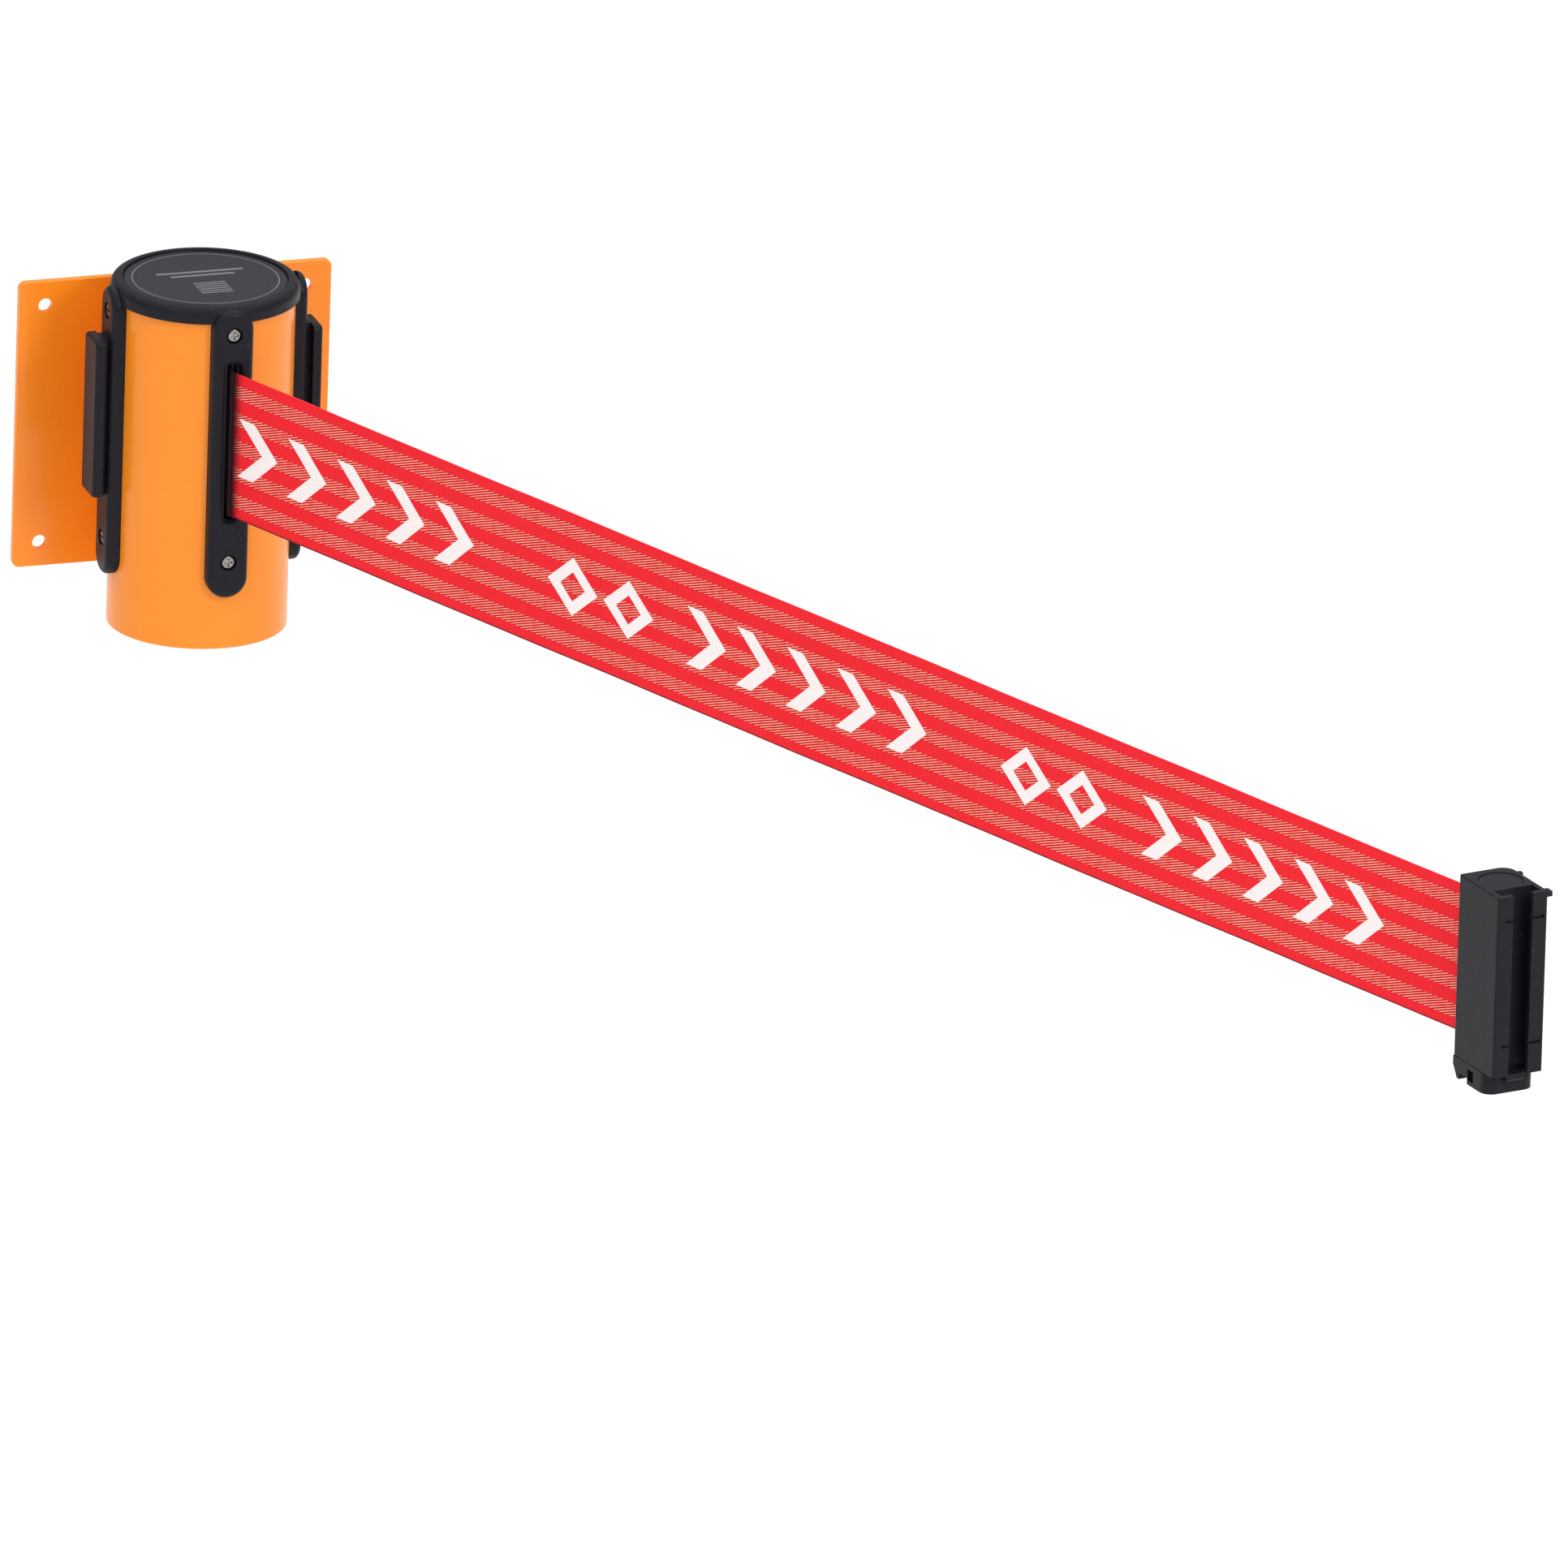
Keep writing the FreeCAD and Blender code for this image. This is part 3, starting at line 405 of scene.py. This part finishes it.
def belt_webbing(name, printed=True):
    g = Graph(name)
    along, up = belt_place(g)
    band = g.math("DIVIDE", g.math("SUBTRACT", TWILL_TOP, up), TWILL_PERIOD)
    in_band = g.math("MULTIPLY", g.less(g.math("FRACT", band), TWILL_SHARE), g.less(0.0, band))
    # twill bands: a pale raised thread with painted shade in the dark gap under it, broken into stitches
    slant = g.math("SUBTRACT", up, g.math("MULTIPLY", along, TWILL_SLOPE))
    phase = g.math("FRACT", g.math("DIVIDE", slant, TWILL_PITCH))
    thread = g.math("MULTIPLY", g.step(phase, 0.42, 0.56), g.step(phase, 0.92, 0.76))
    gap_shade = g.math("MULTIPLY", g.step(phase, 0.04, 0.14), g.step(phase, 0.44, 0.32))
    bead = g.math("SINE", g.math("MULTIPLY", along, 2 * math.pi / STITCH))
    broken = g.noise(420.0, 2.0)
    thread = g.math("MULTIPLY", thread, g.scale(g.math("MULTIPLY_ADD", bead, 0.5, 0.5), 0.55, 1.0))
    thread = g.math("MULTIPLY", thread, g.scale(g.step(broken, 0.36, 0.56), 0.6, 1.0))
    twill = g.math("MULTIPLY", thread, in_band)
    gap_shade = g.math("MULTIPLY", gap_shade, in_band)
    # plain weave between the bands: a diagonal lattice of light dots, with painted shade in the hollows between
    # them
    one = g.math("SINE", g.math("MULTIPLY", g.math("ADD", along, up), math.pi * 2 / PLAIN_PITCH))
    two = g.math("SINE", g.math("MULTIPLY", g.math("SUBTRACT", along, up), math.pi * 2 / PLAIN_PITCH))
    lattice = g.math("MULTIPLY", one, two)
    out_band = g.math("SUBTRACT", 1.0, in_band)
    dots = g.step(lattice, 0.15, 0.7)
    plain = g.math("MULTIPLY", dots, out_band)
    hollow_shade = g.math("MULTIPLY", g.step(lattice, -0.15, -0.7), out_band)
    cloud = g.noise(30.0, 3.0)
    shade = g.mix(cloud, rgb(0.94, 0.004, 0.014), rgb(1.0, 0.007, 0.020))
    # painted shade: the gap under each twill thread is darkened to deep red
    shade = g.mix(g.math("MULTIPLY", gap_shade, 0.85), shade, rgb(0.26, 0.008, 0.010))
    # painted shade: the weave's hollows are darkened
    shade = g.mix(g.math("MULTIPLY", hollow_shade, 0.55), shade, rgb(0.55, 0.002, 0.010))
    shade = g.mix(g.math("MULTIPLY", plain, 0.5), shade, rgb(1.0, 0.10, 0.12))
    shade = g.mix(g.math("MULTIPLY", twill, 0.88), shade, rgb(1.0, 0.70, 0.52))
    height = g.math("ADD", twill, g.math("MULTIPLY", plain, 0.5))
    rough = 0.72
    if printed:
        mark = printed_marks(g, along, up)
        rib = g.math("SINE", g.math("MULTIPLY", up, 2 * math.pi / TWILL_PITCH))
        ink = g.mix(g.step(rib, -1.0, 1.0), rgb(1.0, 0.88, 0.88), rgb(1.0, 0.95, 0.94))
        shade = g.mix(mark, shade, ink)
        height = g.math("MULTIPLY_ADD", mark, 0.5, height)
        rough = g.scale(mark, 0.74, 0.58)
    # painted shadow: the belt turns near black over its first mm out of the slot
    mouth = g.step(along, *MOUTH_SHADE)
    shade = g.mix(mouth, rgb(0.03, 0.0, 0.002), shade)
    edge_w, edge_fade = EDGE_SHADE
    down = g.math("MULTIPLY", up, -1.0)
    edge = g.step(g.math("SUBTRACT", down, BELT_W / MM / 2 - edge_w), 0.0, edge_fade)
    shade = g.mix(g.math("MULTIPLY", edge, 0.8), shade, rgb(0.06, 0.004, 0.008))
    return g.set(
        Base_Color=shade,
        Roughness=rough,
        Specular_IOR_Level=0.16,
        Sheen_Weight=0.04,
        Sheen_Roughness=0.4,
        Normal=g.bump(height, 0.00010, 0.5),
    )


def floor_paint():
    g = Graph("floor_paint")
    cloud = g.noise(3.0, 2.0)
    shade = g.mix(cloud, rgb(0.94, 0.94, 0.94), rgb(0.95, 0.95, 0.95))
    return g.set(Base_Color=shade, Roughness=0.9)


MATERIALS = {
    "powder_coat_orange": powder_coat(),
    "black_plastic": black_plastic(),
    "label_black": label_film(),
    "zinc_screw": metal("zinc_screw", (0.10, 0.095, 0.09), (0.46, 0.44, 0.42), 0.24, (1, 1, 1)),
    "grey_nylon": dull("grey_nylon", (0.17, 0.17, 0.18), (0.23, 0.23, 0.24), 0.5),
    "bright_steel": metal("bright_steel", (0.45, 0.45, 0.46), (0.66, 0.66, 0.67), 0.3, (1, 1, 0.06)),
    "bronze": metal("bronze", (0.42, 0.28, 0.12), (0.62, 0.44, 0.20), 0.42, (1, 1, 1)),
    "spring_steel": metal("spring_steel", (0.16, 0.18, 0.23), (0.30, 0.32, 0.37), 0.32, (0.2, 0.2, 1)),
    "brake_lining": dull("brake_lining", (0.06, 0.05, 0.045), (0.10, 0.09, 0.08), 0.8),
    "belt_webbing": belt_webbing("belt_webbing_plain", printed=False),
}


def dress_frame():
    """Every CAD node gets the finish of its material slot."""
    for row in frame["record"]["subparts"]:
        piece = NODES[row["node"]]
        for s in piece.material_slots:
            s.link = "OBJECT"
            s.material = MATERIALS[row["material_slot"]]


# ========================================================================================
# pieces
# ========================================================================================
def new_piece(name, mesh, material, body):
    piece = bpy.data.objects.new(name, mesh)
    bpy.context.scene.collection.objects.link(piece)
    piece.data.materials.append(material)
    for face in piece.data.polygons:
        face.use_smooth = True
    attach(piece, body)
    return piece


def belt_section(rows, body_t, edge_t):
    """The belt's closed section, as (side, up) in metres: flat faces and rounded selvedges."""
    flat_up = BELT_W / 2 - SELVEDGE_W
    face = [(body_t / 2, -flat_up + 2 * flat_up * k / rows) for k in range(rows + 1)]
    cap = []
    for k in range(1, SELVEDGE_STEPS):
        a = math.pi / 2 - math.pi * k / SELVEDGE_STEPS
        out = SELVEDGE_CORE + (1 - SELVEDGE_CORE) * math.cos(a)
        cap.append((math.sin(a) * edge_t / 2, flat_up + SELVEDGE_W * out))
    right = face + cap
    return right + [(-x, -y) for x, y in right]


def belt_mesh(name, line, section, ripple=0.0):
    """The belt as a closed strip that follows a line of plan points, rippled if asked."""
    bm = bmesh.new()
    rings = []
    length = sum((b - a).length for a, b in zip(line, line[1:]))
    s = 0.0
    for i, at in enumerate(line):
        s += (at - line[max(i - 1, 0)]).length
        ahead = (line[min(i + 1, len(line) - 1)] - line[max(i - 1, 0)]).normalized()
        across = Vector((-ahead.y, ahead.x))
        fade = ripple * min(1.0, s / BELT_FADE) * min(1.0, (length - s) / BELT_FADE)
        row = []
        for side, up in section:
            wave = sum(share * math.sin(s * a + up * b) for a, b, share in RIPPLE_WAVES)
            spot = at + across * (side + fade * wave)
            row.append(bm.verts.new((spot.x, spot.y, BELT_MID + up)))
        rings.append(row)
    n = len(section)
    for a, b in zip(rings, rings[1:]):
        for k in range(n):
            bm.faces.new((a[k], b[k], b[(k + 1) % n], a[(k + 1) % n]))
    bm.faces.new(rings[0])
    bm.faces.new(list(reversed(rings[-1])))
    bmesh.ops.recalc_face_normals(bm, faces=bm.faces)
    mesh = bpy.data.meshes.new(name)
    bm.to_mesh(mesh)
    bm.free()
    return mesh


def outer_belt():
    """The belt outside the slot, from the slot to the belt end's loop."""
    end = REACH - LOOP_R + LOOP_TOUCH
    line = []
    for i in range(BELT_STEPS + 1):
        line.append((PIVOT + ALONG * (BELT_START + (end - BELT_START) * i / BELT_STEPS)).to_2d())
    mesh = belt_mesh("belt", line, belt_section(FACE_ROWS, BELT_T, SELVEDGE_T), RIPPLE)
    belt = new_piece("belt", mesh, belt_webbing("belt_webbing"), "belt")
    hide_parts("belt_run")
    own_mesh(belt)


def polar(middle, radius, angle):
    return middle.to_2d() + Vector((math.cos(angle), math.sin(angle))) * radius


def spiral(middle, r_in, pitch, turns, end_angle, per_turn):
    """Plan points from the inner end of a spiral to its outer end, at end_angle."""
    steps = round(turns * per_turn)
    line = []
    for i in range(steps + 1):
        done = turns * i / steps
        line.append(polar(middle, r_in + pitch * done, end_angle - 2 * math.pi * (turns - done)))
    return line


def inner_piece(name, line, body, node):
    """A hidden length of the belt, in place of the CAD's solid."""
    mesh = belt_mesh(name, line, belt_section(INNER_ROWS, INNER_T, INNER_T))
    piece = new_piece(name, mesh, MATERIALS["belt_webbing"], body)
    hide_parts(node)


def inner_belt():
    """The belt wound on the drum, its run to the slot, and its loop round the belt end's pin."""
    post = TUBE_AXIS + Vector((POST_X, POST_Y, 0))
    bend_r = -POST_X
    run_r = COIL_R + POST_GAP + BELT_T / 2
    lean = math.acos(-(run_r + bend_r) / math.hypot(POST_X, POST_Y))
    side = math.atan2(POST_Y, POST_X) + lean
    turns = (COIL_R - HUB_R - BELT_T / 2) / BELT_T
    wound = spiral(TUBE_AXIS, HUB_R + BELT_T / 2, BELT_T, turns, side + math.pi, TURN_STEPS)
    inner_piece("belt_on_drum", wound, "spool", "belt_coil")
    leave = polar(TUBE_AXIS, run_r, side + math.pi)
    arrive = polar(post, bend_r, side)
    run = [leave.lerp(arrive, k / RUN_STEPS) for k in range(RUN_STEPS)]
    run += [polar(post, bend_r, side * (1 - k / POST_STEPS)) for k in range(POST_STEPS + 1)]
    mouth = Vector((PIVOT.x, PIVOT.y - BELT_START))
    run += [run[-1].lerp(mouth, k / MOUTH_STEPS) for k in range(1, MOUTH_STEPS + 1)]
    inner_piece("belt_to_slot", run, "canister", "belt_inner_run")
    back = BELT_TURN + math.pi
    loop = spiral(END_PIN, LOOP_R - LOOP_DEPTH, BELT_T, LOOP_TURNS, back, TURN_STEPS)
    inner_piece("belt_round_pin", loop, "belt_tail", "belt_end_loop")


def flat_mesh(name, outlines, z, height):
    """Flat printed shapes: each outline is a closed loop of (x, y), raised by height."""
    bm = bmesh.new()
    for loop in outlines:
        low = [bm.verts.new((x, y, z)) for x, y in loop]
        face = bm.faces.new(low)
        out = bmesh.ops.extrude_face_region(bm, geom=[face])
        top = [v for v in out["geom"] if isinstance(v, bmesh.types.BMVert)]
        bmesh.ops.translate(bm, verts=top, vec=(0, 0, height))
    bmesh.ops.recalc_face_normals(bm, faces=bm.faces)
    mesh = bpy.data.meshes.new(name)
    bm.to_mesh(mesh)
    bm.free()
    return mesh


def label_print():
    """A thin ring, two bars and a hatched square, printed on the cap's disc."""
    centre = (LABEL_LOW + LABEL_HIGH) / 2
    r_in, r_out = RING_R
    outlines = []
    for k in range(RING_STEPS):
        a, b = (2 * math.pi * (k + i) / RING_STEPS for i in (0, 1))
        outlines.append([
            (centre.x + r * math.cos(t), centre.y + r * math.sin(t))
            for r, t in ((r_in, a), (r_out, a), (r_out, b), (r_in, b))
        ])
    for width, y in BARS:
        outlines.append(rectangle(centre.x, centre.y + y, width, BAR_H))
    for k in range(HATCH_ROWS):
        y = centre.y - HATCH_START - HATCH_PITCH * k
        outlines.append(rectangle(centre.x, y, HATCH_W, HATCH_H))
    mesh = flat_mesh("label_print", outlines, LABEL_HIGH.z - PRINT_SINK, PRINT_T)
    piece = new_piece("label_print", mesh, label_ink(), "canister")
    for face in piece.data.polygons:
        face.use_smooth = False


def rectangle(x, y, width, height):
    return [
        (x + sx * width / 2, y + sy * height / 2)
        for sx, sy in CORNERS
    ]


# ========================================================================================
# stage, light and camera
# ========================================================================================
def camera_axes():
    a, e = CAMERA_AZIMUTH, CAMERA_ELEVATION
    back = Vector((math.sin(a) * math.cos(e), -math.cos(a) * math.cos(e), math.sin(e)))
    right = Vector((math.cos(a), math.sin(a), 0))
    return right, back.cross(right), back


def add_camera():
    right, up, back = camera_axes()
    anchor = Vector((TUBE_AXIS.x, TUBE_AXIS.y, TUBE_LOW.z))
    target = anchor + right * VIEW_RIGHT + up * VIEW_UP + back * VIEW_DEPTH
    cam = bpy.data.objects.new("camera", bpy.data.cameras.new("camera"))
    bpy.context.scene.collection.objects.link(cam)
    cam.data.sensor_width = SENSOR
    cam.data.lens = CAMERA_LENS
    distance = CAMERA_LENS * VIEW_WIDTH / SENSOR
    cam.data.clip_start = distance * CLIP_NEAR
    cam.data.clip_end = distance * CLIP_FAR
    turn = Matrix((right, up, back)).transposed() @ Matrix.Rotation(CAMERA_ROLL, 3, "Z")
    cam.rotation_mode = "QUATERNION"
    cam.rotation_quaternion = turn.to_quaternion()
    cam.location = target + back * distance
    bpy.context.scene.camera = cam


def add_floor():
    lo, hi = (Vector(v) for v in cad_box)
    mid = (lo + hi) / 2
    mesh = bpy.data.meshes.new("floor")
    z = lo.z - FLOOR_DROP
    corners = [(mid.x + sx * FLOOR_HALF, mid.y + sy * FLOOR_HALF, z) for sx, sy in CORNERS]
    mesh.from_pydata(corners, [], [(0, 1, 2, 3)])
    floor = bpy.data.objects.new("floor", mesh)
    bpy.context.scene.collection.objects.link(floor)
    floor.data.materials.append(floor_paint())


def add_area(name, place, aim, size, power):
    light = bpy.data.lights.new(name, "AREA")
    light.shape = "RECTANGLE"
    light.size, light.size_y = size
    light.energy = power
    lamp = bpy.data.objects.new(name, light)
    bpy.context.scene.collection.objects.link(lamp)
    lamp.location = place
    lamp.rotation_mode = "QUATERNION"
    lamp.rotation_quaternion = (Vector(place) - Vector(aim)).to_track_quat("Z", "Y")


def add_light():
    world = bpy.data.worlds.new("studio")
    bpy.context.scene.world = world
    world.use_nodes = True
    tree = world.node_tree
    back = tree.nodes["Background"]
    back.inputs["Color"].default_value = (1, 1, 1, 1)
    split = tree.nodes.new("ShaderNodeSeparateXYZ")
    tree.links.new(tree.nodes.new("ShaderNodeTexCoord").outputs["Generated"], split.inputs[0])
    strength = tree.nodes.new("ShaderNodeMath")
    strength.operation = "MAXIMUM"
    bands = ((WORLD_FADE_FROM, 1.0, WORLD_LOW, WORLD_HIGH), (*HORIZON, 0.0, WORLD_BELOW))
    for band, socket in zip(bands, strength.inputs):
        fade = tree.nodes.new("ShaderNodeMapRange")
        tree.links.new(split.outputs[2], fade.inputs["Value"])
        for name, value in zip(("From Min", "From Max", "To Min", "To Max"), band):
            fade.inputs[name].default_value = value
        tree.links.new(fade.outputs["Result"], socket)
    tree.links.new(strength.outputs[0], back.inputs["Strength"])
    for lamp in LAMPS:
        add_area(*lamp)


dress_frame()
outer_belt()
inner_belt()
label_print()
add_floor()
add_light()
add_camera()
bpy.context.scene.view_settings.view_transform = "Standard"
